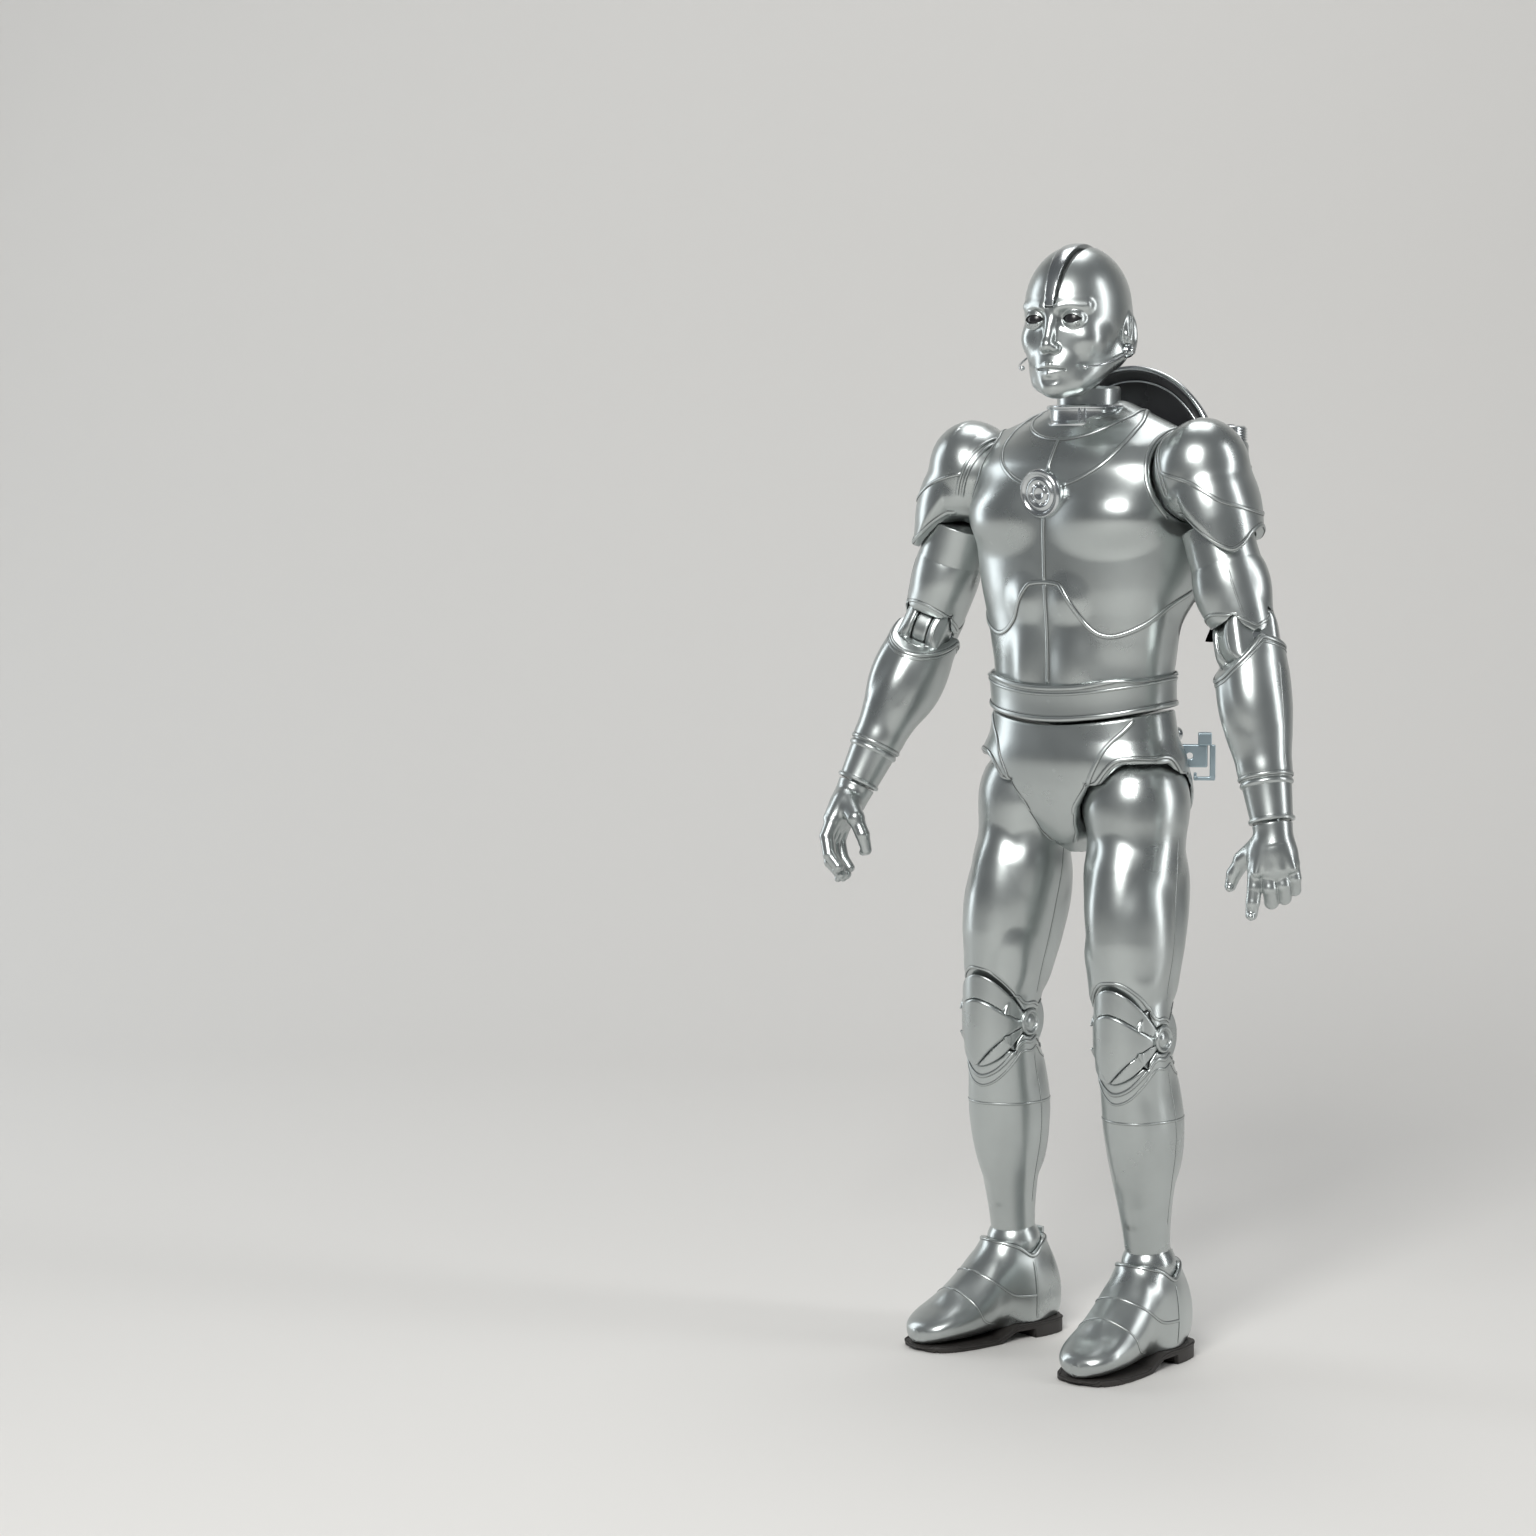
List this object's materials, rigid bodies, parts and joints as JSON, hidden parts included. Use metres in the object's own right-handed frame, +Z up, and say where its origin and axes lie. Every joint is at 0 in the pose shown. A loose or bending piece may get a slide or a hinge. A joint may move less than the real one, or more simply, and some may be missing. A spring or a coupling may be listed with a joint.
{
  "type": "articulated action figure",
  "caption": "Standing jointed space-suit action figure in silver plastic with moulded armour piping, a round-dished back pack, tanks, chest medallion and headset.",
  "frame": {"origin": "on the ground under the middle of the figure, at the centre of its box in plan", "axes": "+Z up, -Y the way the chest faces, +X towards the figure's own left hand"},
  "size_m": [0.1476, 0.0711, 0.2996],
  "materials": {
    "silver_paint": "satin silver metallic paint over moulded plastic",
    "bright_metal": "brighter satin silver on trim and pins",
    "dark_plastic": "unpainted dark grey moulded plastic",
    "black_plastic": "black semi-gloss plastic"
  },
  "bodies": {
    "pelvis": {"pelvis_front": "silver_paint", "pelvis_back": "silver_paint", "pelvis_screws": "bright_metal", "hip_clip_plate": "bright_metal", "hip_clip_bolt": "bright_metal", "hip_clip_hook": "bright_metal"},
    "torso": {"chest_front": "silver_paint", "chest_back": "silver_paint", "chest_screws": "bright_metal", "waist_spigot": "dark_plastic", "belt": "silver_paint", "neck_column": "silver_paint", "neck_collar": "bright_metal", "chest_medallion": "bright_metal", "pack_body": "black_plastic", "pack_dish": "black_plastic", "pack_rim": "bright_metal", "pack_tanks": "silver_paint", "tank_caps": "bright_metal", "tank_nozzles": "dark_plastic", "pack_bands": "black_plastic"},
    "neck": {"neck_ball": "dark_plastic"},
    "head": {"skull": "silver_paint", "face": "silver_paint", "crest": "bright_metal", "eye_lenses": "dark_plastic", "ear_studs": "bright_metal", "mic_boom": "bright_metal"},
    "left_shoulder": {"left_shoulder_hub": "dark_plastic"},
    "left_deltoid": {"left_shoulder_cap": "silver_paint"},
    "left_upper_arm": {"left_upper_arm": "silver_paint"},
    "left_forearm": {"left_forearm": "silver_paint", "left_elbow_knuckle": "silver_paint", "left_elbow_pin": "bright_metal", "left_cuff": "silver_paint"},
    "left_hand": {"left_hand": "silver_paint"},
    "right_shoulder": {"right_shoulder_hub": "dark_plastic"},
    "right_deltoid": {"right_shoulder_cap": "silver_paint"},
    "right_upper_arm": {"right_upper_arm": "silver_paint"},
    "right_forearm": {"right_forearm": "silver_paint", "right_elbow_knuckle": "silver_paint", "right_elbow_pin": "bright_metal", "right_cuff": "silver_paint"},
    "right_hand": {"right_hand": "silver_paint"},
    "left_hip": {"left_hip_hub": "dark_plastic"},
    "left_thigh": {"left_thigh": "silver_paint"},
    "left_knee": {"left_knee_unit": "silver_paint", "left_knee_pin": "bright_metal", "left_kneecap": "bright_metal"},
    "left_shin": {"left_shin": "silver_paint"},
    "left_foot": {"left_boot": "silver_paint", "left_boot_sole": "black_plastic"},
    "right_hip": {"right_hip_hub": "dark_plastic"},
    "right_thigh": {"right_thigh": "silver_paint"},
    "right_knee": {"right_knee_unit": "silver_paint", "right_knee_pin": "bright_metal", "right_kneecap": "bright_metal"},
    "right_shin": {"right_shin": "silver_paint"},
    "right_foot": {"right_boot": "silver_paint", "right_boot_sole": "black_plastic"}
  },
  "joints": [
    {"name": "waist_turn", "type": "hinge", "parent": "pelvis", "child": "torso", "pos_m": [0, 0, 0.173], "axis": [0, -0.0698, 0.9976], "range_deg": [-35, 35]},
    {"name": "head_turn", "type": "hinge", "parent": "torso", "child": "neck", "pos_m": [0, 0.001, 0.267], "axis": [0, 0, 1], "range_deg": [-65, 45]},
    {"name": "head_nod", "type": "hinge", "parent": "neck", "child": "head", "pos_m": [0, 0.001, 0.267], "axis": [0.9848, 0.1736, 0], "range_deg": [-9, 9]},
    {"name": "left_shoulder_swing", "type": "hinge", "parent": "torso", "child": "left_shoulder", "pos_m": [0.0375, 0, 0.238], "axis": [-1, 0, 0], "range_deg": [-35, 100]},
    {"name": "left_shoulder_raise", "type": "hinge", "parent": "left_shoulder", "child": "left_deltoid", "pos_m": [0.0375, 0, 0.238], "axis": [0, -1, 0], "range_deg": [-4, 31]},
    {"name": "left_arm_twist", "type": "hinge", "parent": "left_deltoid", "child": "left_upper_arm", "pos_m": [0.04401, 0, 0.21909], "axis": [0.3256, 0, -0.9455], "range_deg": [-45, 60]},
    {"name": "left_elbow_bend", "type": "hinge", "parent": "left_upper_arm", "child": "left_forearm", "pos_m": [0.05248, 0, 0.19451], "axis": [-0.8188, 0.5, -0.282], "range_deg": [-8, 70]},
    {"name": "left_wrist_turn", "type": "hinge", "parent": "left_forearm", "child": "left_hand", "pos_m": [0.06479, -0.00579, 0.14847], "axis": [0.2566, -0.1205, -0.959], "range_deg": [-50, 60]},
    {"name": "right_shoulder_swing", "type": "hinge", "parent": "torso", "child": "right_shoulder", "pos_m": [-0.0375, 0, 0.238], "axis": [-1, 0, 0], "range_deg": [-35, 100]},
    {"name": "right_shoulder_raise", "type": "hinge", "parent": "right_shoulder", "child": "right_deltoid", "pos_m": [-0.0375, 0, 0.238], "axis": [0, 1, 0], "range_deg": [-4, 31]},
    {"name": "right_arm_twist", "type": "hinge", "parent": "right_deltoid", "child": "right_upper_arm", "pos_m": [-0.0445, 0, 0.21927], "axis": [0.3502, 0, 0.9367], "range_deg": [-50, 60]},
    {"name": "right_elbow_bend", "type": "hinge", "parent": "right_upper_arm", "child": "right_forearm", "pos_m": [-0.05361, 0, 0.19491], "axis": [-0.9088, -0.2419, 0.3398], "range_deg": [-23, 57]},
    {"name": "right_wrist_turn", "type": "hinge", "parent": "right_forearm", "child": "right_hand", "pos_m": [-0.06483, -0.0182, 0.15194], "axis": [0.2338, 0.3791, 0.8953], "range_deg": [-60, 50]},
    {"name": "left_hip_swing", "type": "hinge", "parent": "pelvis", "child": "left_hip", "pos_m": [0.0175, 0, 0.151], "axis": [-1, 0, 0], "range_deg": [-15, 36]},
    {"name": "left_hip_spread", "type": "hinge", "parent": "left_hip", "child": "left_thigh", "pos_m": [0.0175, 0, 0.151], "axis": [0, -0.9937, 0.1119], "range_deg": [-2, 22]},
    {"name": "left_knee_bend", "type": "hinge", "parent": "left_thigh", "child": "left_shin", "pos_m": [0.0223, -0.007, 0.089], "axis": [1, 0, 0], "range_deg": [-6, 66]},
    {"name": "left_kneecap_follow", "type": "hinge", "parent": "left_thigh", "child": "left_knee", "pos_m": [0.0223, -0.007, 0.089], "axis": [1, 0, 0], "range_deg": [-3, 33]},
    {"name": "left_ankle_pitch", "type": "hinge", "parent": "left_shin", "child": "left_foot", "pos_m": [0.023, 0, 0.026], "axis": [-0.9986, -0.0523, 0], "range_deg": [-14, 12]},
    {"name": "right_hip_swing", "type": "hinge", "parent": "pelvis", "child": "right_hip", "pos_m": [-0.0175, 0, 0.151], "axis": [-1, 0, 0], "range_deg": [-15, 36]},
    {"name": "right_hip_spread", "type": "hinge", "parent": "right_hip", "child": "right_thigh", "pos_m": [-0.0175, 0, 0.151], "axis": [0, 0.9937, -0.1119], "range_deg": [-2, 22]},
    {"name": "right_knee_bend", "type": "hinge", "parent": "right_thigh", "child": "right_shin", "pos_m": [-0.0223, -0.007, 0.089], "axis": [1, 0, 0], "range_deg": [-6, 66]},
    {"name": "right_kneecap_follow", "type": "hinge", "parent": "right_thigh", "child": "right_knee", "pos_m": [-0.0223, -0.007, 0.089], "axis": [1, 0, 0], "range_deg": [-3, 33]},
    {"name": "right_ankle_pitch", "type": "hinge", "parent": "right_shin", "child": "right_foot", "pos_m": [-0.023, 0, 0.026], "axis": [-0.9781, 0.2079, 0], "range_deg": [-14, 12]}
  ],
  "couplings": [
    {"joint": "left_kneecap_follow", "follows": "left_knee_bend", "ratio": 0.5},
    {"joint": "right_kneecap_follow", "follows": "right_knee_bend", "ratio": 0.5}
  ]
}
